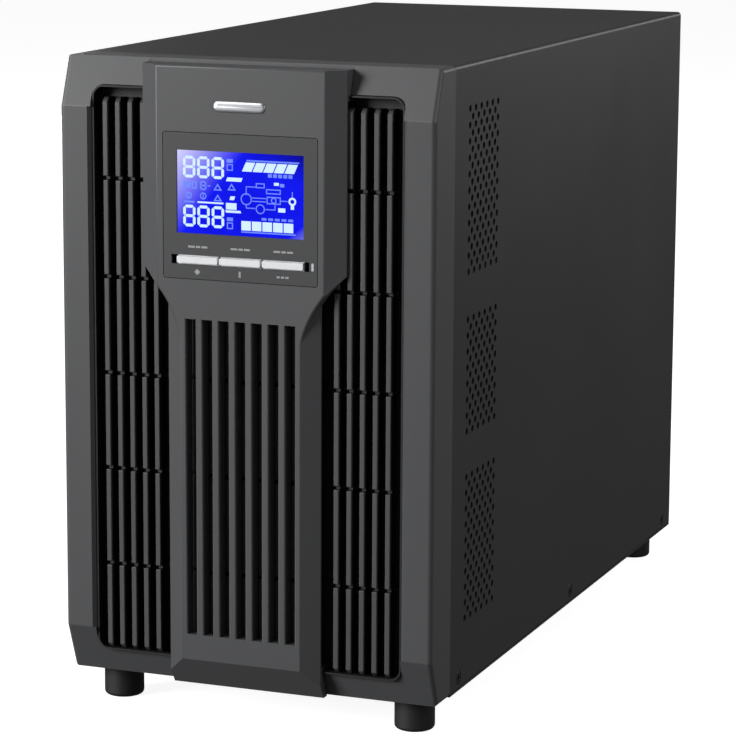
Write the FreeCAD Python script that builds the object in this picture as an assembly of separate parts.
import FreeCAD, Part
import math
import os

# Tower uninterruptible power supply, in millimetres.
# +X is to the right seen from the front, the front faces -Y, +Z is up.
# The origin is on the floor, under the middle of the whole object.

Vector = FreeCAD.Vector
AXES = {"x": Vector(1, 0, 0), "y": Vector(0, 1, 0), "z": Vector(0, 0, 1)}

# ---------------------------------------------------------------- driving dimensions
HALF_WIDTH = 95.0
BODY_BOTTOM = 17.0
BODY_TOP = 318.0
COVER_FRONT = -179.0
COVER_REAR = 203.0
SHEET = 1.2
GAP = 0.3

# Moulded front bezel
FRAME_FRONT = -205.0
FRAME_SLOPE_DEPTH = 9.0
FRAME_SLOPE_LOW = 40.0
FRAME_SLOPE_HIGH = 294.5
OPENING_HALF = 79.3
OPENING_LOW = 29.0
OPENING_HIGH = 305.0
OPENING_RADIUS = 6.0
FRAME_WALL = 2.5
FRAME_EDGE_RADIUS = 2.2
FLARE = 1.6
RECESS_DEPTH = 14.0
HOOK_PLACES = [-70.0, 54.0]
HOOK_WIDTH = 16.0
HOOK_OVERLAP = 5.0
HOOK_CLEARANCE = 0.5
HOOK_HEIGHTS = [(19.5, 22.5), (312.5, 315.5)]

# Steel wall behind the bezel: rows of air slots and an opening for the ribbon
PLATE_SLOT_ROWS = 6
PLATE_SLOT_COLUMNS = 8
PLATE_SLOT_SIZE = (16.0, 20.0)
PLATE_SLOT_PITCH = (20.0, 30.0)
PLATE_FIRST_SLOT = (-70.0, 44.0)
RIBBON_OPENING_HALF = 12.0
RIBBON_OPENING = (236.0, 262.0)

# Raised centre panel with the display
PANEL_PROUD = 5.0
PANEL_FRONT = FRAME_FRONT - PANEL_PROUD
PANEL_TOP = 316.3
PANEL_BOTTOM = 16.4
PANEL_BACK = FRAME_FRONT + 1.2
LUG_BACK = FRAME_FRONT + 8.5
BASE_UPPER_HALF = 51.6
BASE_NECK_HALF = 39.0
FACE_UPPER_HALF = 42.3
FACE_NECK_HALF = 30.4
TAPER_HIGH = 221.0
TAPER_LOW = 180.0
PANEL_BEVEL_HIGH = 31.0
PANEL_BEVEL_DEPTH = 9.5
PANEL_EDGE_RADIUS = 1.2

# Ventilation slots in the neck of the centre panel
SLOT_COUNT = 7
SLOT_PITCH = 8.45
SLOT_WIDTH = 4.8
SLOT_EDGE_RADIUS = 0.7
SLOT_LOW = 43.5
SLOT_HIGH = 197.0
NECK_BAR_BACK = PANEL_FRONT + 7.1

# Vertical fins behind the bezel opening
FIN_FIRST = 46.1
FIN_PITCH = 6.5
FIN_COUNT = 5
FIN_WIDTH = 2.6
FIN_FRONT = FRAME_FRONT + 1.5
MIDDLE_FIN_FRONT = FRAME_FRONT + 3.5
FIN_BACK = FRAME_FRONT + 9.5
FIN_TIP = 2.0
FIN_LOW = 30.6
FIN_HIGH = 299.0
MIDDLE_FIN_WIDTH = 5.5
MIDDLE_FIN_LOW = 34.0
MIDDLE_FIN_HIGH = 206.0
NOTCH_HEIGHTS = [72.8, 120.2, 166.8, 213.4, 260.7]
NOTCH_HEIGHT = 1.8
NOTCH_DEPTH = 3.0
RIB_DEPTH = 1.8
RIB_HEIGHT = 2.0
BACKING_THICKNESS = 2.0
LINING_FRONT = FRAME_FRONT + 2.0
LINING_THICKNESS = 0.8

# Display module
INSERT_HALF = 39.0
INSERT_LOW = 216.2
INSERT_HIGH = 285.0
INSERT_PLATE = 1.2
INSERT_WALL = 1.6
INSERT_BACK = PANEL_FRONT + 13.1
WINDOW_HALF = 32.2
WINDOW_LOW = 237.7
WINDOW_HIGH = 276.8
LCD_THICKNESS = 2.8
BOARD_FRONT = PANEL_FRONT + 10.1
BOARD_THICKNESS = 1.6
BUTTON_HEIGHT = 225.2
BUTTON_PITCH = 21.7
BUTTON_LENGTH = 20.6
BUTTON_BAR = 3.1
BUTTON_SLOT_HALF = 35.0
BUTTON_SLOT_HEIGHT = 4.5
BUTTON_PROUD = 0.5
BUTTON_TRAVEL = 1.0
SWITCH_DEPTH = 2.0
LIGHT_X = 36.6

# Perforated vents of the wrap-around cover, three groups a side
HOLE_RADIUS = 1.7
HOLE_PITCH = 7.7
HOLE_COLUMN_PITCH = 4.0
HOLE_FIRST_Y = -158.5
HOLE_COLUMNS = 11
HOLE_GROUPS = [(219.4, 11), (142.6, 8), (51.0, 10)]

SIDE_SCREW_HEIGHT = 23.4
SIDE_SCREW_PLACES = [-166.6, 10.4, 186.8]
SIDE_SCREW_RADIUS = 3.2
SIDE_SHANK_RADIUS = 1.9

FOOT_RADIUS = 9.8
FOOT_X = 77.0
FRONT_FOOT_Y = -178.0
REAR_FOOT_Y = 190.0
FOOT_SCREW_SEAT = 8.0
FOOT_HOLE_RADIUS = 2.2
EAR_FRONT = -190.0
EAR_HALF = 12.0
TRAY_WALL_HEIGHT = 16.0

# Rear panel and what it carries
PANEL_REAR_FACE = 202.0
PANEL_INNER_FACE = PANEL_REAR_FACE - SHEET
FAN_X = 45.0
FAN_Z = 268.0
FAN_SIZE = 80.0
FAN_DEPTH = 25.0
FAN_BORE = 38.5
FAN_SCREW_OFFSET = 35.75
FAN_SCREW_HOLE = 2.2
FAN_FRONT = PANEL_INNER_FACE - FAN_DEPTH
OUTLET_X = 50.0
OUTLET_Z = 192.0
OUTLET_PITCH_X = 33.0
OUTLET_PITCH_Z = 25.0
INLET_X = 52.0
LARGE_OUTLET_X = -52.0
POWER_ROW_Z = 138.0
SERIAL_X = 26.0
USB_X = 58.0
SLOT_COVER_X = -46.0
PORT_ROW_Z = 92.0
LOW_ROW_Z = 46.0
JACK_X = -66.0
JACK_PITCH = 15.0
EPO_X = -26.0
BATTERY_PORT_X = 34.0
STUD_X = 78.0
STUD_RADIUS = 2.5
STUD_END = 210.5

# Battery pack: two layers of four sealed blocks, 151 x 65 x 94
BATTERY_WIDTH = 151.0
BATTERY_DEPTH = 65.0
BATTERY_HEIGHT = 94.0
BATTERY_GAP = 1.0
BATTERY_FIRST_Y = -166.0
BATTERIES_IN_ROW = 4
LOWER_LAYER = 20.0
UPPER_LAYER = 122.5
TERMINAL_X = 62.0
TERMINAL_HEIGHT = 6.0
SHELF_HEIGHT = 121.0

# Power electronics above the battery pack
DECK_HEIGHT = 224.0
MAIN_BOARD_HEIGHT = 232.0
BOARD_TOP = MAIN_BOARD_HEIGHT + BOARD_THICKNESS
MAIN_BOARD_HALF = 84.0
MAIN_BOARD_FRONT = -160.0
MAIN_BOARD_REAR = 160.0


# ---------------------------------------------------------------- shape helpers
def box(x0, x1, y0, y1, z0, z1):
    return Part.makeBox(x1 - x0, y1 - y0, z1 - z0, Vector(x0, y0, z0))


def rod(radius, start, length, axis):
    return Part.makeCylinder(radius, length, Vector(*start), AXES[axis])


def fuse(shapes):
    return shapes[0].multiFuse(shapes[1:]).removeSplitter()


def prism_yz(points, x0, x1):
    corners = [Vector(x0, y, z) for y, z in points]
    face = Part.Face(Part.makePolygon(corners + corners[:1]))
    return face.extrude(Vector(x1 - x0, 0, 0))


def edges_along(shape, axis):
    """Straight edges of a shape that run along one axis."""
    chosen = []
    for edge in shape.Edges:
        span = edge.Vertexes[-1].Point - edge.Vertexes[0].Point
        if span.Length > 0 and abs(span.normalize().dot(AXES[axis])) > 0.999:
            chosen.append(edge)
    return chosen


def rounded_box(x0, x1, y0, y1, z0, z1, radius, axis="y"):
    block = box(x0, x1, y0, y1, z0, z1)
    return block.makeFillet(radius, edges_along(block, axis))


def both_sides(shape):
    mirrored = shape.mirror(Vector(0, 0, 0), AXES["x"])
    return [shape, mirrored]


def pan_head_screw(place, axis, direction, head_radius, head_height, shank_radius, shank_length):
    """A screw whose head's underside is at place, with the shank against direction."""
    line = AXES[axis] * direction
    head = Part.makeCylinder(head_radius, head_height, place, line)
    head = head.makeFillet(head_height * 0.4, [outer_rim(head, place + line * head_height)])
    shank = Part.makeCylinder(shank_radius, shank_length, place, line * -1)
    recess = cross_recess(place + line * head_height, line, head_radius * 1.1, head_height * 0.55)
    return fuse([head, shank]).cut(recess)


def outer_rim(shape, centre):
    """The circular edge of a shape whose centre is given."""
    for edge in shape.Edges:
        if hasattr(edge.Curve, "Center") and (edge.Curve.Center - centre).Length < 0.001:
            return edge
    raise ValueError("no rim there")


def cross_recess(place, line, length, depth):
    """Two crossed slots cut down from place, against line."""
    width = length * 0.22
    slots = []
    for turn in (0, 90):
        slot = Part.makeBox(length, width, depth + 1, Vector(-length / 2, -width / 2, -depth))
        slot.rotate(Vector(0, 0, 0), AXES["z"], turn)
        slots.append(slot)
    cross = slots[0].fuse(slots[1])
    turn = FreeCAD.Rotation(AXES["z"], line)
    cross.Placement = FreeCAD.Placement(place, turn)
    return cross


def hexagon(across_flats, start, length, axis):
    """A hexagonal bar along one axis."""
    radius = across_flats / math.sqrt(3)
    corners = []
    for step in range(6):
        angle = math.radians(60 * step)
        corners.append(Vector(radius * math.cos(angle), radius * math.sin(angle), 0))
    bar = Part.Face(Part.makePolygon(corners + corners[:1])).extrude(Vector(0, 0, length))
    turn = FreeCAD.Rotation(AXES["z"], AXES[axis])
    bar.Placement = FreeCAD.Placement(Vector(*start), turn)
    return bar


# ---------------------------------------------------------------- sheet-metal enclosure
def foot_centres():
    return [(side * FOOT_X, y) for side in (-1, 1) for y in (FRONT_FOOT_Y, REAR_FOOT_Y)]


def front_ears(clearance):
    """Tongues of the tray that reach forward under the bezel to carry the front feet."""
    half = EAR_HALF + clearance
    top = BODY_BOTTOM + SHEET + clearance
    bottom = BODY_BOTTOM - clearance
    front = EAR_FRONT - clearance
    rear = COVER_FRONT + clearance
    return [box(x - half, x + half, front, rear, bottom, top) for x in (-FOOT_X, FOOT_X)]


def base_tray():
    floor = box(-HALF_WIDTH, HALF_WIDTH, COVER_FRONT, COVER_REAR, BODY_BOTTOM, BODY_BOTTOM + SHEET)
    outer = HALF_WIDTH - SHEET - GAP
    wall = box(outer - SHEET, outer, COVER_FRONT + 2, COVER_REAR - 3,
               BODY_BOTTOM + SHEET, BODY_BOTTOM + TRAY_WALL_HEIGHT)
    tray = fuse([floor] + both_sides(wall) + front_ears(0))
    holes = [rod(FOOT_HOLE_RADIUS, (x, y, BODY_BOTTOM - 1), SHEET + 2, "z") for x, y in foot_centres()]
    return tray.cut(holes + side_screw_holes(SIDE_SHANK_RADIUS + 0.05))


def side_screw_holes(radius):
    """Holes right across the body at each pair of side screws."""
    reach = HALF_WIDTH + 1
    return [rod(radius, (-reach, y, SIDE_SCREW_HEIGHT), 2 * reach, "x") for y in SIDE_SCREW_PLACES]


def perforations():
    """Round vent holes through both sides of the cover, in staggered columns."""
    holes = []
    for group_bottom, rows in HOLE_GROUPS:
        for column in range(HOLE_COLUMNS):
            shifted = column % 2
            y = HOLE_FIRST_Y + column * HOLE_COLUMN_PITCH
            for row in range(rows - shifted):
                z = group_bottom + (row + shifted / 2) * HOLE_PITCH
                for x in (-HALF_WIDTH - 1, HALF_WIDTH - SHEET - 1):
                    holes.append(rod(HOLE_RADIUS, (x, y, z), SHEET + 2, "x"))
    return holes


def wrap_cover():
    """Top and both sides, folded from one sheet."""
    low = BODY_BOTTOM + SHEET + GAP
    outer = box(-HALF_WIDTH, HALF_WIDTH, COVER_FRONT, COVER_REAR, low, BODY_TOP)
    top_edges = [e for e in edges_along(outer, "y") if e.CenterOfMass.z > BODY_TOP - 1]
    outer = outer.makeFillet(2.0, top_edges)
    inner_half = HALF_WIDTH - SHEET
    inner = box(-inner_half, inner_half, COVER_FRONT - 1, COVER_REAR + 1, low - 1, BODY_TOP - SHEET)
    cover = outer.cut(inner)
    return cover.cut(perforations() + side_screw_holes(SIDE_SCREW_RADIUS + 0.2))


def side_screws():
    screws = []
    for y in SIDE_SCREW_PLACES:
        for side in (-1, 1):
            place = Vector(side * (HALF_WIDTH - SHEET), y, SIDE_SCREW_HEIGHT)
            screws.append(pan_head_screw(place, "x", side, SIDE_SCREW_RADIUS, 1.15, SIDE_SHANK_RADIUS, 7))
    return screws


def feet():
    shapes = []
    for x, y in foot_centres():
        foot = rod(FOOT_RADIUS, (x, y, 0), BODY_BOTTOM, "z")
        foot = foot.makeFillet(2.0, [outer_rim(foot, Vector(x, y, 0))])
        recess = rod(4.6, (x, y, -1), FOOT_SCREW_SEAT + 1, "z")
        hole = rod(FOOT_HOLE_RADIUS, (x, y, 0), BODY_BOTTOM + 1, "z")
        shapes.append(foot.cut([recess, hole]))
    return shapes


def foot_screws():
    length = BODY_BOTTOM + SHEET - FOOT_SCREW_SEAT
    return [pan_head_screw(Vector(x, y, FOOT_SCREW_SEAT), "z", -1, 3.9, 2.4, 2.0, length)
            for x, y in foot_centres()]


def front_plate():
    """Steel front wall of the chassis, behind the bezel, with air slots."""
    half = HALF_WIDTH - SHEET - GAP
    low = BODY_BOTTOM + SHEET
    plate = box(-half, half, COVER_FRONT, COVER_FRONT + SHEET, low, BODY_TOP - SHEET - GAP)
    front, rear = COVER_FRONT - 1, COVER_FRONT + SHEET + 1
    cuts = [box(-RIBBON_OPENING_HALF, RIBBON_OPENING_HALF, front, rear, *RIBBON_OPENING)]
    width, height = PLATE_SLOT_SIZE
    for row in range(PLATE_SLOT_ROWS):
        z = PLATE_FIRST_SLOT[1] + row * PLATE_SLOT_PITCH[1]
        for column in range(PLATE_SLOT_COLUMNS):
            x = PLATE_FIRST_SLOT[0] + column * PLATE_SLOT_PITCH[0]
            cuts.append(rounded_box(x - width / 2, x + width / 2, front, rear, z, z + height, 3))
    return plate.cut(cuts + hooks(front, rear, HOOK_CLEARANCE))


def rear_panel():
    half = HALF_WIDTH - SHEET - GAP
    low = BODY_BOTTOM + SHEET
    y0, y1 = PANEL_INNER_FACE, PANEL_REAR_FACE
    panel = box(-half, half, y0, y1, low, BODY_TOP - SHEET - GAP)
    through = (y0 - 1, y1 + 1)
    depth = y1 - y0 + 2
    cuts = []
    for side in (-1, 1):
        cuts.append(rod(FAN_BORE, (side * FAN_X, y0 - 1, FAN_Z), depth, "y"))
        for x, z in fan_corners(side * FAN_X):
            cuts.append(rod(FAN_SCREW_HOLE, (x, y0 - 1, z), depth, "y"))
        x = side * OUTLET_X
        cuts.append(box(x - 31.5, x + 31.5, *through, OUTLET_Z - 24, OUTLET_Z + 24))
    for x in (INLET_X, LARGE_OUTLET_X):
        cuts.append(box(x - 16.5, x + 16.5, *through, POWER_ROW_Z - 13.5, POWER_ROW_Z + 13.5))
    cuts.append(rod(5.6, (0, y0 - 1, POWER_ROW_Z), depth, "y"))
    cuts.append(box(SERIAL_X - 9.5, SERIAL_X + 9.5, *through, PORT_ROW_Z - 5.2, PORT_ROW_Z + 5.2))
    cuts.append(box(USB_X - 6.5, USB_X + 6.5, *through, PORT_ROW_Z - 6, PORT_ROW_Z + 6))
    cuts.append(box(SLOT_COVER_X - 31, SLOT_COVER_X + 31, *through, PORT_ROW_Z - 12, PORT_ROW_Z + 12))
    cuts.append(box(JACK_X - 15.5, JACK_X + 15.5, *through, LOW_ROW_Z - 7, LOW_ROW_Z + 7))
    cuts.append(box(EPO_X - 7, EPO_X + 7, *through, LOW_ROW_Z - 5, LOW_ROW_Z + 5))
    cuts.append(box(BATTERY_PORT_X - 20, BATTERY_PORT_X + 20, *through, LOW_ROW_Z - 9, LOW_ROW_Z + 9))
    cuts.append(rod(STUD_RADIUS + 0.05, (STUD_X, y0 - 1, LOW_ROW_Z), depth, "y"))
    cuts += [rod(1.6, (x, y0 - 1, z), depth, "y") for x, z in rear_screw_places()]
    return panel.cut(cuts)


def rear_screw_places():
    return [(side * 88.5, z) for side in (-1, 1) for z in (66, 165, 222)]


def rear_screws():
    screws = []
    for x, z in rear_screw_places():
        place = Vector(x, PANEL_REAR_FACE, z)
        screws.append(pan_head_screw(place, "y", 1, 3.0, 2.0, 1.5, SHEET + 4))
    return screws


# ---------------------------------------------------------------- bezel
def frame_outline(inset):
    """Side profile of the bezel, pulled in by a wall's thickness."""
    slope = FRAME_FRONT + FRAME_SLOPE_DEPTH
    shrink = inset * 0.8
    back = COVER_FRONT + (1 if inset else 0)
    return [
        (back, BODY_BOTTOM + inset),
        (slope + shrink, BODY_BOTTOM + inset),
        (FRAME_FRONT + inset, FRAME_SLOPE_LOW + 0.4 * inset),
        (FRAME_FRONT + inset, FRAME_SLOPE_HIGH - 0.4 * inset),
        (slope + shrink, BODY_TOP - inset),
        (back, BODY_TOP - inset),
    ]


def bezel_frame():
    outer = prism_yz(frame_outline(0), -HALF_WIDTH, HALF_WIDTH)
    rounded = []
    for edge in outer.Edges:
        centre = edge.CenterOfMass
        at_side = abs(centre.x) > HALF_WIDTH - 0.1 and centre.y < COVER_FRONT - 0.1
        at_break = abs(centre.x) < 0.1 and centre.y < FRAME_FRONT + 0.1
        if at_side or at_break:
            rounded.append(edge)
    outer = outer.makeFillet(FRAME_EDGE_RADIUS, rounded)
    wall_half = HALF_WIDTH - FRAME_WALL
    rim_half = OPENING_HALF + FRAME_WALL
    hollow = prism_yz(frame_outline(FRAME_WALL), -wall_half, wall_half)
    rim = rounded_box(-rim_half, rim_half, FRAME_FRONT - 1, FRAME_FRONT + RECESS_DEPTH,
                      OPENING_LOW - FRAME_WALL, OPENING_HIGH + FRAME_WALL, OPENING_RADIUS + FRAME_WALL)
    opening = rounded_box(-OPENING_HALF, OPENING_HALF, FRAME_FRONT - 2, FRAME_FRONT + RECESS_DEPTH + 1,
                          OPENING_LOW, OPENING_HIGH, OPENING_RADIUS)
    frame = outer.cut(hollow.cut(rim)).cut(opening)
    seat_half = BASE_UPPER_HALF + GAP
    neck_half = BASE_NECK_HALF + GAP
    seats = [
        box(-seat_half, seat_half, FRAME_FRONT - 1, LUG_BACK + GAP, OPENING_HIGH - 4, BODY_TOP + 1),
        box(-neck_half, neck_half, FRAME_FRONT - 1, LUG_BACK + GAP, BODY_BOTTOM - 1, OPENING_LOW + 4),
    ]
    frame = frame.cut(seats + both_sides(flare_wedge()) + front_ears(GAP))
    return fuse([frame] + hooks(COVER_FRONT - RECESS_DEPTH, COVER_FRONT + HOOK_OVERLAP, 0))


def hooks(front, rear, clearance):
    """Tabs of the bezel that latch into the steel front wall."""
    tabs = []
    for x in HOOK_PLACES:
        for low, high in HOOK_HEIGHTS:
            tabs.append(box(x - clearance, x + HOOK_WIDTH + clearance, front, rear,
                            low - clearance, high + clearance))
    return tabs


def flare_wedge():
    """Wedge that takes the sharp inner edge off the right side column."""
    corners = [
        Vector(OPENING_HALF - 1, FRAME_FRONT - 1, FRAME_SLOPE_LOW),
        Vector(OPENING_HALF + FLARE + 1, FRAME_FRONT - 1, FRAME_SLOPE_LOW),
        Vector(OPENING_HALF - 1, FRAME_FRONT + FLARE + 1, FRAME_SLOPE_LOW),
    ]
    face = Part.Face(Part.makePolygon(corners + corners[:1]))
    return face.extrude(Vector(0, 0, FRAME_SLOPE_HIGH - FRAME_SLOPE_LOW))


def raised_block(base_half, face_half, low, high):
    """A block standing proud of the frame, with a sloping facet down each side."""
    corners = [
        Vector(-base_half, FRAME_FRONT, low),
        Vector(-face_half, PANEL_FRONT, low),
        Vector(face_half, PANEL_FRONT, low),
        Vector(base_half, FRAME_FRONT, low),
        Vector(base_half, PANEL_BACK, low),
        Vector(-base_half, PANEL_BACK, low),
    ]
    face = Part.Face(Part.makePolygon(corners + corners[:1]))
    return face.extrude(Vector(0, 0, high - low))


def head_outline():
    """Solid that trims the head's lower corners along two curved diagonals."""
    y = PANEL_FRONT - 1
    shoulder = Vector(BASE_UPPER_HALF, y, TAPER_HIGH)
    knee = Vector(FACE_NECK_HALF + 4, y, TAPER_HIGH - 16)
    ankle = Vector(FACE_NECK_HALF, y, TAPER_LOW + 11)
    end = Vector(FACE_NECK_HALF, y, TAPER_LOW)
    top = Vector(BASE_UPPER_HALF, y, PANEL_TOP)
    curve = Part.BezierCurve()
    curve.setPoles([shoulder, knee, ankle, end])
    right = curve.toShape()
    left = right.mirror(Vector(0, 0, 0), AXES["x"])
    end_left, shoulder_left, top_left = (Vector(-p.x, p.y, p.z) for p in (end, shoulder, top))
    wire = Part.Wire(Part.__sortEdges__([
        right,
        Part.makeLine(end, end_left),
        left,
        Part.makeLine(shoulder_left, top_left),
        Part.makeLine(top_left, top),
        Part.makeLine(top, shoulder),
    ]))
    return Part.Face(wire).extrude(Vector(0, PANEL_BACK - y + 1, 0))


def slot_centres():
    first = -(SLOT_COUNT - 1) / 2 * SLOT_PITCH
    return [first + step * SLOT_PITCH for step in range(SLOT_COUNT)]


def centre_panel():
    head = raised_block(BASE_UPPER_HALF, FACE_UPPER_HALF, TAPER_LOW, PANEL_TOP).common(head_outline())
    neck = raised_block(BASE_NECK_HALF, FACE_NECK_HALF, PANEL_BOTTOM, TAPER_HIGH - 8)
    raised = fuse([head, neck])
    front_edges = [e for e in raised.Edges if e.BoundBox.YMax < PANEL_FRONT + 0.01]
    raised = raised.makeFillet(PANEL_EDGE_RADIUS, front_edges)
    neck_block = box(-FACE_NECK_HALF, FACE_NECK_HALF, FRAME_FRONT, NECK_BAR_BACK,
                     SLOT_LOW - 10, SLOT_HIGH + 6)
    top_lug = box(-BASE_UPPER_HALF, BASE_UPPER_HALF, FRAME_FRONT, LUG_BACK, OPENING_HIGH - 3, PANEL_TOP)
    low_lug = box(-BASE_NECK_HALF, BASE_NECK_HALF, FRAME_FRONT, LUG_BACK, PANEL_BOTTOM, OPENING_LOW + 3)
    panel = fuse([raised, neck_block, top_lug, low_lug])
    slope = (PANEL_BEVEL_HIGH - PANEL_BOTTOM) / PANEL_BEVEL_DEPTH
    bevel_points = [
        (PANEL_FRONT - 2, PANEL_BOTTOM - 3),
        (PANEL_FRONT - 2, PANEL_BEVEL_HIGH + 2 * slope),
        (PANEL_FRONT + PANEL_BEVEL_DEPTH + 1, PANEL_BOTTOM - slope),
        (PANEL_FRONT + PANEL_BEVEL_DEPTH + 1, PANEL_BOTTOM - 3),
    ]
    cuts = [prism_yz(bevel_points, -HALF_WIDTH, HALF_WIDTH)]
    window = rounded_box(-INSERT_HALF - GAP, INSERT_HALF + GAP, PANEL_FRONT - 1, PANEL_BACK + 1,
                         INSERT_LOW - GAP, INSERT_HIGH + GAP, 1.5)
    cuts.append(window)
    cuts.append(box(-38, 38, PANEL_FRONT + 2.5, PANEL_BACK + 1, INSERT_HIGH + 2.5, OPENING_HIGH - 5))
    cuts += [neck_slot(x) for x in slot_centres()]
    return panel.cut(cuts)


def neck_slot(x):
    """One upright slot, flared at the front so that the bars between slots are rounded."""
    half = SLOT_WIDTH / 2
    slot = box(x - half, x + half, PANEL_FRONT - 1, NECK_BAR_BACK + 1, SLOT_LOW, SLOT_HIGH)
    mouth = box(x - half - SLOT_EDGE_RADIUS, x + half + SLOT_EDGE_RADIUS, PANEL_FRONT - 1,
                PANEL_FRONT + SLOT_EDGE_RADIUS, SLOT_LOW, SLOT_HIGH)
    for side in (-1, 1):
        start = (x + side * (half + SLOT_EDGE_RADIUS), PANEL_FRONT + SLOT_EDGE_RADIUS, SLOT_LOW)
        mouth = mouth.cut(rod(SLOT_EDGE_RADIUS, start, SLOT_HIGH - SLOT_LOW, "z"))
    return slot.fuse(mouth)


def pointed_fin(x, width, front, low, high):
    """One upright fin with bevelled ends."""
    points = [(FIN_BACK, low), (front + FIN_TIP, low), (front, low + FIN_TIP),
              (front, high - FIN_TIP), (front + FIN_TIP, high), (FIN_BACK, high)]
    fin = prism_yz(points, x - width / 2, x + width / 2)
    notches = []
    for z in NOTCH_HEIGHTS:
        if z < high:
            notches.append(box(x - width, x + width, front - 1, front + NOTCH_DEPTH,
                               z - NOTCH_HEIGHT / 2, z + NOTCH_HEIGHT / 2))
    return fin.cut(notches)


def fin_grille():
    """All the upright fins, joined by cross ribs behind their notches."""
    fins = []
    for step in range(FIN_COUNT):
        x = FIN_FIRST + step * FIN_PITCH
        fins += both_sides(pointed_fin(x, FIN_WIDTH, FIN_FRONT, FIN_LOW, FIN_HIGH))
    for x in slot_centres():
        fins.append(pointed_fin(x, MIDDLE_FIN_WIDTH, MIDDLE_FIN_FRONT, MIDDLE_FIN_LOW, MIDDLE_FIN_HIGH))
    outer = FIN_FIRST + (FIN_COUNT - 1) * FIN_PITCH + FIN_WIDTH
    front = FIN_BACK - RIB_DEPTH
    half = RIB_HEIGHT / 2
    ribs = []
    for z in NOTCH_HEIGHTS:
        if z < MIDDLE_FIN_HIGH:
            ribs.append(box(-outer, outer, front, FIN_BACK, z - half, z + half))
        else:
            ribs += both_sides(box(INSERT_HALF + 4, outer, front, FIN_BACK, z - half, z + half))
    return fuse(fins + ribs)


def grille_backing():
    """Dark tray behind the fins: a plate with air slots, and walls that line the opening."""
    half = OPENING_HALF - GAP
    low, high = OPENING_LOW + GAP, OPENING_HIGH - GAP
    rear = FIN_BACK + BACKING_THICKNESS
    tray = rounded_box(-half, half, LINING_FRONT, rear, low, high, OPENING_RADIUS - GAP)
    hollow = rounded_box(-half + LINING_THICKNESS, half - LINING_THICKNESS, LINING_FRONT - 1, FIN_BACK,
                         low + LINING_THICKNESS, high - LINING_THICKNESS,
                         OPENING_RADIUS - GAP - LINING_THICKNESS)
    seat_half = BASE_UPPER_HALF + GAP
    neck_half = BASE_NECK_HALF + GAP
    cuts = [
        hollow,
        box(-INSERT_HALF - 1, INSERT_HALF + 1, FIN_BACK - 1, rear + 1, INSERT_LOW - 4.2, INSERT_HIGH + 4),
        box(-seat_half, seat_half, LINING_FRONT - 1, FIN_BACK, high - 8, high + 1),
        box(-neck_half, neck_half, LINING_FRONT - 1, FIN_BACK, low - 1, low + 8),
    ]
    ends = list(zip([FIN_LOW + 6] + NOTCH_HEIGHTS, NOTCH_HEIGHTS + [FIN_HIGH - 4]))
    for step in range(FIN_COUNT - 1):
        x = FIN_FIRST + (step + 0.5) * FIN_PITCH
        for bottom, top in ends:
            cuts += both_sides(box(x - 1.6, x + 1.6, FIN_BACK - 1, rear + 1, bottom + 3, top - 3))
    for before, after in zip(slot_centres(), slot_centres()[1:]):
        x = (before + after) / 2
        cuts.append(box(x - 1.2, x + 1.2, FIN_BACK - 1, rear + 1, SLOT_LOW, SLOT_HIGH))
    return tray.cut(cuts)


# ---------------------------------------------------------------- display module
def button_centres():
    return {"left": -BUTTON_PITCH, "middle": 0.0, "right": BUTTON_PITCH}


def display_insert():
    """Flush front plate of the display module with the walls of its housing."""
    outer = rounded_box(-INSERT_HALF, INSERT_HALF, PANEL_FRONT, INSERT_BACK, INSERT_LOW, INSERT_HIGH, 1.2)
    inner = box(-INSERT_HALF + INSERT_WALL, INSERT_HALF - INSERT_WALL, PANEL_FRONT + INSERT_PLATE,
                INSERT_BACK + 1, INSERT_LOW + INSERT_WALL, INSERT_HIGH - INSERT_WALL)
    window = box(-WINDOW_HALF, WINDOW_HALF, PANEL_FRONT - 1, PANEL_FRONT + 2, WINDOW_LOW, WINDOW_HIGH)
    half_slot = BUTTON_SLOT_HEIGHT / 2
    slot = box(-BUTTON_SLOT_HALF, BUTTON_SLOT_HALF, PANEL_FRONT - 1, PANEL_FRONT + 2,
               BUTTON_HEIGHT - half_slot, BUTTON_HEIGHT + half_slot)
    light = box(LIGHT_X - 0.65, LIGHT_X + 0.65, PANEL_FRONT - 1, PANEL_FRONT + 2,
                BUTTON_HEIGHT - 1.9, BUTTON_HEIGHT + 1.9)
    return outer.cut([inner, window, slot, light])


def lcd_panel():
    y = PANEL_FRONT + INSERT_PLATE
    return box(-WINDOW_HALF - 2, WINDOW_HALF + 2, y, y + LCD_THICKNESS, WINDOW_LOW - 2, WINDOW_HIGH + 2)


def lcd_backlight():
    y = PANEL_FRONT + INSERT_PLATE + LCD_THICKNESS
    block = box(-WINDOW_HALF - 3, WINDOW_HALF + 3, y, BOARD_FRONT, WINDOW_LOW - 3, WINDOW_HIGH + 3)
    relief = box(-WINDOW_HALF + 2, WINDOW_HALF - 2, BOARD_FRONT - 2, BOARD_FRONT + 1,
                 WINDOW_LOW + 2, WINDOW_HIGH - 2)
    return block.cut(relief)


def status_light():
    y = PANEL_FRONT + 0.1
    return box(LIGHT_X - 0.6, LIGHT_X + 0.6, y, BOARD_FRONT, BUTTON_HEIGHT - 1.8, BUTTON_HEIGHT + 1.8)


def display_board():
    half = INSERT_HALF - INSERT_WALL - GAP
    board = box(-half, half, BOARD_FRONT, BOARD_FRONT + BOARD_THICKNESS,
                INSERT_LOW + INSERT_WALL + GAP, INSERT_HIGH - INSERT_WALL - GAP)
    holes = [rod(1.5, (x, BOARD_FRONT - 1, z), 4, "y") for x in (-34, 34) for z in (231.5, 281)]
    return board.cut(holes)


def tact_switches():
    front = BOARD_FRONT - SWITCH_DEPTH
    return [box(x - 3, x + 3, front, BOARD_FRONT, BUTTON_HEIGHT - 3, BUTTON_HEIGHT + 3)
            for x in button_centres().values()]


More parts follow.
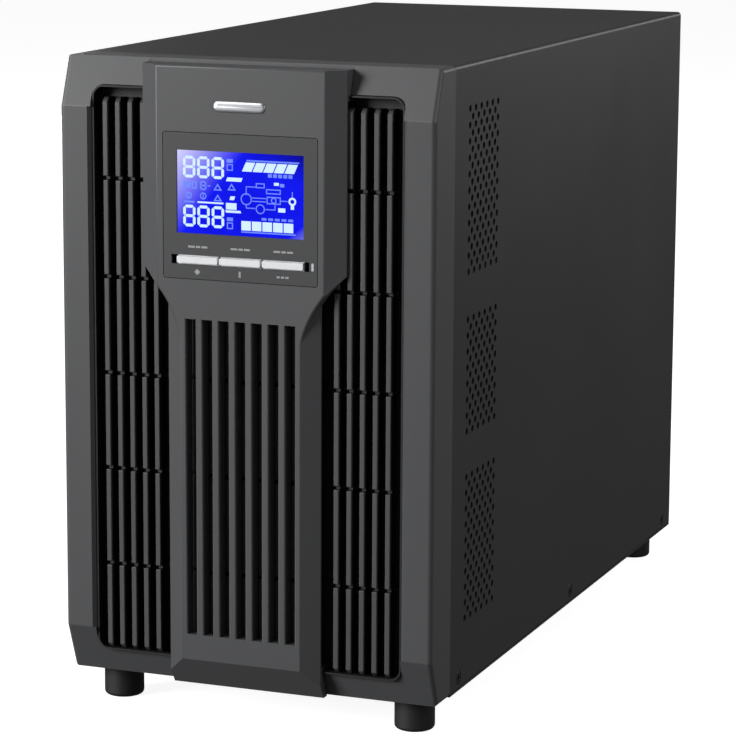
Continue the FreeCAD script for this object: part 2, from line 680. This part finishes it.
def display_button(x):
    """Bar-shaped cap with its retaining flange and the stem that works the switch."""
    half = BUTTON_LENGTH / 2
    bar = rounded_box(x - half, x + half, PANEL_FRONT - BUTTON_PROUD, PANEL_FRONT + INSERT_PLATE + 0.3,
                      BUTTON_HEIGHT - BUTTON_BAR / 2, BUTTON_HEIGHT + BUTTON_BAR / 2, 0.5)
    flange_front = PANEL_FRONT + INSERT_PLATE + 0.2
    flange = box(x - half, x + half, flange_front, flange_front + 1.2,
                 BUTTON_HEIGHT - 3.2, BUTTON_HEIGHT + 3.2)
    stem_end = BOARD_FRONT - SWITCH_DEPTH - BUTTON_TRAVEL - 0.15
    stem = rod(1.6, (x, flange_front + 1, BUTTON_HEIGHT), stem_end - flange_front - 1, "y")
    return fuse([bar, flange, stem])


def display_ribbon():
    """Flat cable from the display board through the chassis to the main board."""
    thickness = 0.9
    bend = 9.0
    top = 248.0
    turn_y = -164.0
    start = BOARD_FRONT + BOARD_THICKNESS
    level = box(-10, 10, start, turn_y, top - thickness, top)
    drop = box(-10, 10, turn_y + bend - thickness, turn_y + bend, MAIN_BOARD_HEIGHT + 1.6, top - bend)
    centre = Vector(-10, turn_y, top - bend)
    outer = Part.makeCylinder(bend, 20, centre, AXES["x"])
    inner = Part.makeCylinder(bend - thickness, 20, centre, AXES["x"])
    corner = box(-10, 10, turn_y, turn_y + bend, top - bend, top)
    return fuse([level, drop, outer.cut(inner).common(corner)])


# ---------------------------------------------------------------- battery pack
def battery_fronts():
    step = BATTERY_DEPTH + BATTERY_GAP
    return [BATTERY_FIRST_Y + index * step for index in range(BATTERIES_IN_ROW)]


def pack_outline():
    """Half the width, the front and the rear of the steelwork around a layer of batteries."""
    fronts = battery_fronts()
    return BATTERY_WIDTH / 2 + 3, fronts[0] - 2, fronts[-1] + BATTERY_DEPTH + 2


def battery_layer(low):
    half = BATTERY_WIDTH / 2
    blocks = []
    for y in battery_fronts():
        case = rounded_box(-half, half, y, y + BATTERY_DEPTH, low, low + BATTERY_HEIGHT, 2.5, "z")
        lid_groove = box(-half + 8, half - 8, y + 8, y + BATTERY_DEPTH - 8,
                         low + BATTERY_HEIGHT - 1, low + BATTERY_HEIGHT + 1)
        blocks.append(case.cut(lid_groove))
    return blocks


def battery_terminals():
    tabs = []
    for low in (LOWER_LAYER, UPPER_LAYER):
        top = low + BATTERY_HEIGHT - 1
        for y in battery_fronts():
            middle = y + BATTERY_DEPTH / 2
            for x in (-TERMINAL_X, TERMINAL_X):
                tabs.append(box(x - 0.4, x + 0.4, middle - 3.2, middle + 3.2, top, top + TERMINAL_HEIGHT))
    return tabs


def battery_tray():
    """Open steel channel that holds the lower layer."""
    half, front, rear = pack_outline()
    low = BODY_BOTTOM + SHEET
    floor = box(-half, half, front, rear, low, low + SHEET)
    wall = box(half - SHEET, half, front, rear, low, SHELF_HEIGHT)
    stop = box(-half, half, rear - SHEET, rear, low, low + 40)
    return fuse([floor, stop] + both_sides(wall))


def battery_shelf():
    """Shelf between the two layers with end stops for the upper one."""
    half, front, rear = pack_outline()
    floor = box(-half, half, front, rear, SHELF_HEIGHT, SHELF_HEIGHT + SHEET)
    wall = box(half - SHEET, half, front, rear, SHELF_HEIGHT, UPPER_LAYER + 30)
    stop = box(-half, half, rear - SHEET, rear, SHELF_HEIGHT, UPPER_LAYER + 30)
    return fuse([floor, stop] + both_sides(wall))


def bent_tube(radius, corners, bend):
    """Round cable along straight runs joined by tangent quarter bends."""
    edges = []
    start = corners[0]
    for before, corner, after in zip(corners, corners[1:], corners[2:]):
        arriving = (corner - before).normalize()
        leaving = (after - corner).normalize()
        arc_start = corner - arriving * bend
        arc_end = corner + leaving * bend
        arc_middle = corner + (leaving - arriving) * bend * (1 - math.sqrt(0.5))
        edges.append(Part.makeLine(start, arc_start))
        edges.append(Part.Arc(arc_start, arc_middle, arc_end).toShape())
        start = arc_end
    edges.append(Part.makeLine(start, corners[-1]))
    first_run = corners[1] - corners[0]
    ring = Part.Wire([Part.makeCircle(radius, corners[0], first_run)])
    return Part.Wire(edges).makePipeShell([ring], True, False)


def battery_lead(x):
    """Lead from the back of the pack, up behind the deck and onto the main board."""
    rise_y = MAIN_BOARD_REAR + 6.5
    top = MAIN_BOARD_HEIGHT + 12
    pack_rear = pack_outline()[2]
    corners = [Vector(x, pack_rear, 150), Vector(x, rise_y, 150), Vector(x, rise_y, top),
               Vector(x, MAIN_BOARD_REAR - 22, top)]
    return bent_tube(3.0, corners, 10.0)


# ---------------------------------------------------------------- power electronics
def electronics_deck():
    half = HALF_WIDTH - SHEET - GAP - 0.3
    deck = box(-half, half, -172, 100, DECK_HEIGHT, DECK_HEIGHT + SHEET)
    flange = box(half - SHEET, half, -172, 168, DECK_HEIGHT - 12, DECK_HEIGHT + SHEET)
    side_rail = box(half - 30, half, 99, 168, DECK_HEIGHT, DECK_HEIGHT + SHEET)
    return fuse([deck] + both_sides(flange) + both_sides(side_rail))


def standoff_centres():
    return [(x, y) for x in (-78, 78) for y in (-152, -50, 52, 152)]


def main_board():
    board = box(-MAIN_BOARD_HALF, MAIN_BOARD_HALF, MAIN_BOARD_FRONT, MAIN_BOARD_REAR,
                MAIN_BOARD_HEIGHT, BOARD_TOP)
    holes = [rod(1.7, (x, y, MAIN_BOARD_HEIGHT - 1), 4, "z") for x, y in standoff_centres()]
    return board.cut(holes)


def board_standoffs():
    bottom = DECK_HEIGHT + SHEET
    posts = []
    for x, y in standoff_centres():
        post = hexagon(5.5, (x, y, bottom), MAIN_BOARD_HEIGHT - bottom, "z")
        screw = rod(1.5, (x, y, MAIN_BOARD_HEIGHT - 2), BOARD_THICKNESS + 2, "z")
        head = rod(3.0, (x, y, BOARD_TOP), 2.0, "z")
        posts.append(fuse([post, screw, head]))
    return posts


def heatsinks():
    low = BOARD_TOP
    base = box(50, 74, -140, 40, low, low + 8)
    fins = [box(50 + step * 4.4, 52 + step * 4.4, -140, 40, low, low + 56) for step in range(6)]
    return both_sides(fuse([base] + fins))


def bus_capacitors():
    low = BOARD_TOP
    cans = []
    for x in (-20, 20):
        for y in (-110, -68, -26):
            can = rod(17, (x, y, low), 50, "z")
            cans.append(can.makeFillet(1.5, [outer_rim(can, Vector(x, y, low + 50))]))
    return cans


def inductors():
    low = BOARD_TOP
    rings = []
    for x in (-24, 24):
        ring = rod(21, (x, 34, low), 24, "z").cut(rod(9, (x, 34, low - 1), 26, "z"))
        rings.append(ring.makeFillet(3, [outer_rim(ring, Vector(x, 34, low + 24))]))
    return rings


def transformer():
    low = BOARD_TOP
    core = box(-22, 22, 68, 112, low + 2, low + 40)
    windows = [box(-14, -7, 66, 114, low + 9, low + 33), box(7, 14, 66, 114, low + 9, low + 33)]
    winding = box(-13.5, 13.5, 61, 119, low, low + 32.5).cut(box(-7.5, 7.5, 67, 113, low - 1, low + 34))
    core = core.cut(windows)
    return fuse([core, winding])


def relays():
    low = BOARD_TOP
    return [rounded_box(x - 7, x + 7, y, y + 29, low, low + 24, 1.0, "z")
            for x in (-66, -46, 46, 66) for y in (62, 98)]


def filter_board():
    board = box(-88, -86.4, 112, 190, 28, 156)
    parts = [box(-86.4, -68, 120, 150, 36, 60), box(-86.4, -68, 120, 150, 70, 94),
             box(-86.4, -62, 118, 160, 104, 146)]
    return fuse([board] + parts)


def comm_board():
    board = box(0, 74, 128, PANEL_INNER_FACE - 0.5, 78, 79.6)
    chips = [box(10, 24, 140, 154, 79.6, 82), box(34, 54, 136, 146, 79.6, 83)]
    beeper = rod(6, (62, 148, 79.6), 9, "z")
    return fuse([board, beeper] + chips)


# ---------------------------------------------------------------- fans
def fan_corners(x):
    """Centres of the four screws of the fan whose middle is at x."""
    offsets = (-FAN_SCREW_OFFSET, FAN_SCREW_OFFSET)
    return [(x + dx, FAN_Z + dz) for dx in offsets for dz in offsets]


def fan_frame(x):
    half = FAN_SIZE / 2
    frame = rounded_box(x - half, x + half, FAN_FRONT, PANEL_INNER_FACE, FAN_Z - half, FAN_Z + half, 3)
    cuts = [rod(FAN_BORE, (x, FAN_FRONT - 1, FAN_Z), FAN_DEPTH + 2, "y")]
    for corner_x, corner_z in fan_corners(x):
        cuts.append(rod(FAN_SCREW_HOLE, (corner_x, FAN_FRONT - 1, corner_z), FAN_DEPTH + 2, "y"))
    frame = frame.cut(cuts)
    hub = rod(15, (x, FAN_FRONT, FAN_Z), 3.5, "y")
    axle = rod(2.0, (x, FAN_FRONT, FAN_Z), 16, "y")
    arms = []
    for turn in range(4):
        arm = box(x + 10, x + FAN_BORE + 0.5, FAN_FRONT, FAN_FRONT + 3, FAN_Z - 2.5, FAN_Z + 2.5)
        arm.rotate(Vector(x, 0, FAN_Z), AXES["y"], 45 + turn * 90)
        arms.append(arm)
    return fuse([frame, hub, axle] + arms)


def fan_rotor(x):
    """Hub and seven pitched blades, turning on the frame's axle."""
    blade_count = 7
    tip_radius = 37.4
    middle = FAN_FRONT + 14.5
    hub = rod(16.5, (x, FAN_FRONT + 4.5, FAN_Z), 19.5, "y")
    blades = []
    for index in range(blade_count):
        blade = box(x + 14, x + tip_radius + 2, middle - 9, middle + 9, FAN_Z - 0.8, FAN_Z + 0.8)
        blade.rotate(Vector(x, middle, FAN_Z), AXES["x"], 42)
        blade.rotate(Vector(x, middle, FAN_Z), AXES["y"], index * 360 / blade_count)
        blades.append(blade)
    sweep = rod(tip_radius, (x, FAN_FRONT + 4.5, FAN_Z), 19.5, "y")
    wheel = fuse([hub] + blades).common(sweep)
    bearing = rod(2.05, (x, FAN_FRONT, FAN_Z), 16.5, "y")
    return wheel.cut(bearing)


def fan_guard(x):
    """Bent-wire finger guard on the outside of the rear panel."""
    wire = 0.9
    ring_y = PANEL_REAR_FACE + 2.4
    spoke_y = PANEL_REAR_FACE + 1.0
    pieces = []
    for radius in (9, 17.5, 26, 34.5):
        pieces.append(Part.makeTorus(radius, wire, Vector(x, ring_y, FAN_Z), AXES["y"]))
    reach = FAN_SCREW_OFFSET * math.sqrt(2)
    loop_radius = 3.4
    for turn in range(4):
        spoke = rod(wire, (x, spoke_y, FAN_Z), reach - loop_radius, "x")
        loop = Part.makeTorus(loop_radius, wire, Vector(x + reach, spoke_y, FAN_Z), AXES["y"])
        for piece in (spoke, loop):
            piece.rotate(Vector(x, 0, FAN_Z), AXES["y"], 45 + turn * 90)
            pieces.append(piece)
    return fuse(pieces)


def fan_screws():
    screws = []
    for x, z in fan_corners(-FAN_X) + fan_corners(FAN_X):
        place = Vector(x, PANEL_REAR_FACE + 2.0, z)
        screws.append(pan_head_screw(place, "y", 1, 4.0, 2.4, 2.0, 14))
    return screws


# ---------------------------------------------------------------- rear sockets and ports
def power_inlet():
    """Male power inlet: a flange and a deep cup for the plug."""
    x, z = INLET_X, POWER_ROW_Z
    flange = rounded_box(x - 20, x + 20, PANEL_REAR_FACE, PANEL_REAR_FACE + 2.5, z - 16.5, z + 16.5, 4)
    body = box(x - 16.2, x + 16.2, 178, PANEL_REAR_FACE, z - 13.2, z + 13.2)
    cup = rounded_box(x - 14, x + 14, 181, PANEL_REAR_FACE + 4, z - 11, z + 11, 2)
    return fuse([flange, body]).cut([cup] + inlet_pins())


def inlet_pins():
    x, z = INLET_X, POWER_ROW_Z
    blades = []
    for dx, dz in ((-7, -3), (7, -3), (0, 3)):
        blades.append(box(x + dx - 3.2, x + dx + 3.2, 174, 197, z + dz - 1, z + dz + 1))
    return blades


def outlet_recess(x, z, half_width, half_height, wall):
    """Groove for a plug's shroud, and the three contact slots in its island."""
    y0, y1 = PANEL_REAR_FACE - 13, PANEL_REAR_FACE + 3
    outer = rounded_box(x - half_width, x + half_width, y0, y1, z - half_height, z + half_height, 2.5)
    island = rounded_box(x - half_width + wall, x + half_width - wall, y0 - 1, y1 + 1,
                         z - half_height + wall, z + half_height - wall, 2)
    slots = []
    for dx, dz in ((-half_width * 0.42, -1.5), (half_width * 0.42, -1.5), (0, 2.5)):
        slots.append(box(x + dx - 0.8, x + dx + 0.8, y0, y1, z + dz - 2.2, z + dz + 2.2))
    return [outer.cut(island)] + slots


def outlet_block(x):
    """Four small outlets in one moulding."""
    width, height = OUTLET_PITCH_X, OUTLET_PITCH_Z
    flange = rounded_box(x - width - 1, x + width + 1, PANEL_REAR_FACE, PANEL_REAR_FACE + 1.8,
                         OUTLET_Z - height - 1, OUTLET_Z + height + 1, 3)
    body = box(x - 31.2, x + 31.2, 178, PANEL_REAR_FACE, OUTLET_Z - 23.7, OUTLET_Z + 23.7)
    cuts = []
    for dx in (-width / 2 + 0.9, width / 2 - 0.9):
        for dz in (-height / 2 + 0.9, height / 2 - 0.9):
            cuts += outlet_recess(x + dx, OUTLET_Z + dz, 13.0, 9.0, 2.4)
    return fuse([flange, body]).cut(cuts)


def large_outlet():
    x, z = LARGE_OUTLET_X, POWER_ROW_Z
    flange = rounded_box(x - 20, x + 20, PANEL_REAR_FACE, PANEL_REAR_FACE + 1.8, z - 16.5, z + 16.5, 4)
    body = box(x - 16.2, x + 16.2, 178, PANEL_REAR_FACE, z - 13.2, z + 13.2)
    return fuse([flange, body]).cut(outlet_recess(x, z, 14.5, 11.0, 2.6))


def breaker_body():
    """Thermal breaker: block inside, threaded neck and ring nut outside."""
    block = box(-8, 8, 162, PANEL_INNER_FACE, POWER_ROW_Z - 15, POWER_ROW_Z + 15)
    neck = rod(5.4, (0, PANEL_INNER_FACE, POWER_ROW_Z), 6.2, "y")
    nut = hexagon(14, (0, PANEL_REAR_FACE, POWER_ROW_Z), 2.6, "y")
    bore = rod(3.6, (0, 195, POWER_ROW_Z), 15, "y")
    return fuse([block, neck, nut]).cut(bore)


def breaker_button():
    cap = rod(3.3, (0, 195.5, POWER_ROW_Z), 13.5, "y")
    return cap.makeFillet(0.8, [outer_rim(cap, Vector(0, 209, POWER_ROW_Z))])


def serial_port():
    """Nine-way data socket with its two jack screws."""
    x, z = SERIAL_X, PORT_ROW_Z
    face = PANEL_REAR_FACE
    flange = rounded_box(x - 15.4, x + 15.4, face, face + 0.8, z - 6.2, z + 6.2, 1.5)
    shell = rounded_box(x - 8.5, x + 8.5, face - 1, face + 6, z - 4.2, z + 4.2, 1.6)
    body = box(x - 9.3, x + 9.3, 186, PANEL_REAR_FACE, z - 5, z + 5)
    pins = []
    for row, count in ((1.4, 5), (-1.4, 4)):
        for index in range(count):
            px = x + (index - (count - 1) / 2) * 2.77
            pins.append(rod(0.6, (px, 198, z + row), 12, "y"))
    nuts = [hexagon(5, (x + dx, PANEL_REAR_FACE, z), 4.8, "y") for dx in (-12.5, 12.5)]
    return fuse([flange, shell, body] + nuts).cut(pins)


def usb_port():
    x, z = USB_X, PORT_ROW_Z
    shell = box(x - 6.2, x + 6.2, 188, PANEL_REAR_FACE + 1, z - 5.7, z + 5.7)
    mouth = box(x - 4.3, x + 4.3, 192, PANEL_REAR_FACE + 2, z - 4.0, z + 4.0)
    tongue = box(x - 2.8, x + 2.8, 191, PANEL_REAR_FACE - 1, z - 1.6, z + 1.6)
    return fuse([shell.cut(mouth), tongue])


def surge_jacks():
    """Pair of network jacks side by side."""
    z = LOW_ROW_Z
    block = box(JACK_X - 15.2, JACK_X + 15.2, 183, PANEL_REAR_FACE + 1, z - 6.7, z + 6.7)
    cuts = []
    for dx in (-JACK_PITCH / 2, JACK_PITCH / 2):
        x = JACK_X + dx
        cuts.append(box(x - 6, x + 6, 187, PANEL_REAR_FACE + 2, z - 2.6, z + 4.4))
        cuts.append(box(x - 3.2, x + 3.2, 187, PANEL_REAR_FACE + 2, z - 4.8, z - 2.4))
    return block.cut(cuts)


def stop_connector():
    """Two-way plug-in terminal for the emergency stop loop."""
    x, z = EPO_X, LOW_ROW_Z
    body = box(x - 6.7, x + 6.7, 190, PANEL_REAR_FACE + 2, z - 4.7, z + 4.7)
    mouth = box(x - 5.4, x + 5.4, 194, PANEL_REAR_FACE + 3, z - 3.4, z + 3.4)
    pins = [rod(0.6, (x + dx, 193, z), 5, "y") for dx in (-2.54, 2.54)]
    return fuse([body.cut(mouth)] + pins)


def slot_cover():
    """Blank plate over the communication card slot."""
    x, z = SLOT_COVER_X, PORT_ROW_Z
    plate = rounded_box(x - 40, x + 40, PANEL_REAR_FACE, PANEL_REAR_FACE + SHEET, z - 14, z + 14, 1.5)
    cuts = [rod(1.7, (screw_x, PANEL_REAR_FACE - 1, z), 4, "y") for screw_x in slot_screw_places()]
    return plate.cut(cuts)


def slot_screw_places():
    return [SLOT_COVER_X - 35.5, SLOT_COVER_X + 35.5]


def slot_screws():
    """Knurled thumb screws of the slot cover."""
    radius, height, groove_count = 3.8, 5.0, 16
    y, z = PANEL_REAR_FACE + SHEET, PORT_ROW_Z
    screws = []
    for x in slot_screw_places():
        head = rod(radius, (x, y, z), height, "y")
        grooves = []
        for step in range(groove_count):
            angle = math.radians(360 / groove_count * step)
            place = (x + radius * math.cos(angle), y + 1, z + radius * math.sin(angle))
            grooves.append(rod(0.35, place, height, "y"))
        shank = rod(1.5, (x, y - SHEET, z), SHEET, "y")
        recess = cross_recess(Vector(x, y + height, z), AXES["y"], 4, 1.2)
        screws.append(fuse([head.cut(grooves), shank]).cut(recess))
    return screws


def battery_port():
    """Cover plate and connector housing for an external battery cabinet."""
    x, z = BATTERY_PORT_X, LOW_ROW_Z
    plate = rounded_box(x - 28, x + 28, PANEL_REAR_FACE, PANEL_REAR_FACE + 1.5, z - 12, z + 12, 2)
    housing = box(x - 19.7, x + 19.7, 170, PANEL_REAR_FACE, z - 8.7, z + 8.7)
    heads = []
    for dx in (-23.5, 23.5):
        place = Vector(x + dx, PANEL_REAR_FACE + 1.5, z)
        heads.append(pan_head_screw(place, "y", 1, 2.8, 1.8, 1.4, 1.5))
    return fuse([plate, housing] + heads)


def ground_stud():
    """Earth stud with its flange inside and a nut outside."""
    start = PANEL_INNER_FACE - 2
    stud = rod(STUD_RADIUS, (STUD_X, start, LOW_ROW_Z), STUD_END - start, "y")
    flange = rod(5, (STUD_X, start, LOW_ROW_Z), 2, "y")
    washer = rod(5, (STUD_X, PANEL_REAR_FACE, LOW_ROW_Z), 0.8, "y")
    nut = hexagon(8, (STUD_X, PANEL_REAR_FACE + 0.8, LOW_ROW_Z), 2.2, "y")
    return fuse([stud, flange, washer, nut])


# ---------------------------------------------------------------- the whole assembly
def assembly():
    nodes = {
        "base_tray": base_tray(),
        "wrap_cover": wrap_cover(),
        "front_plate": front_plate(),
        "rear_panel": rear_panel(),
        "side_screws": side_screws(),
        "rear_screws": rear_screws(),
        "feet": feet(),
        "foot_screws": foot_screws(),
        "bezel_frame": bezel_frame(),
        "centre_panel": centre_panel(),
        "fin_grille": fin_grille(),
        "grille_backing": grille_backing(),
        "display_insert": display_insert(),
        "lcd_panel": lcd_panel(),
        "lcd_backlight": lcd_backlight(),
        "status_light": status_light(),
        "display_board": display_board(),
        "tact_switches": tact_switches(),
        "display_ribbon": display_ribbon(),
        "battery_tray": battery_tray(),
        "battery_shelf": battery_shelf(),
        "batteries_lower": battery_layer(LOWER_LAYER),
        "batteries_upper": battery_layer(UPPER_LAYER),
        "battery_terminals": battery_terminals(),
        "battery_lead_red": battery_lead(12),
        "battery_lead_black": battery_lead(-12),
        "electronics_deck": electronics_deck(),
        "main_board": main_board(),
        "board_standoffs": board_standoffs(),
        "heatsinks": heatsinks(),
        "bus_capacitors": bus_capacitors(),
        "inductors": inductors(),
        "transformer": transformer(),
        "relays": relays(),
        "filter_board": filter_board(),
        "comm_board": comm_board(),
        "fan_frame_left": fan_frame(-FAN_X),
        "fan_frame_right": fan_frame(FAN_X),
        "fan_rotor_left": fan_rotor(-FAN_X),
        "fan_rotor_right": fan_rotor(FAN_X),
        "fan_guards": [fan_guard(-FAN_X), fan_guard(FAN_X)],
        "fan_screws": fan_screws(),
        "power_inlet": power_inlet(),
        "inlet_pins": inlet_pins(),
        "outlet_block_left": outlet_block(-OUTLET_X),
        "outlet_block_right": outlet_block(OUTLET_X),
        "large_outlet": large_outlet(),
        "breaker_body": breaker_body(),
        "breaker_button": breaker_button(),
        "serial_port": serial_port(),
        "usb_port": usb_port(),
        "surge_jacks": surge_jacks(),
        "stop_connector": stop_connector(),
        "slot_cover": slot_cover(),
        "slot_screws": slot_screws(),
        "battery_port": battery_port(),
        "ground_stud": ground_stud(),
    }
    for place, x in button_centres().items():
        nodes["button_" + place] = display_button(x)
    return nodes


def main():
    os.makedirs("parts", exist_ok=True)
    for name, shape in assembly().items():
        if isinstance(shape, list):
            shape = Part.makeCompound(shape)
        shape.exportStep("parts/" + name + ".step")
        print(name, len(shape.Solids), round(shape.Volume / 1000, 2), shape.isValid())


main()
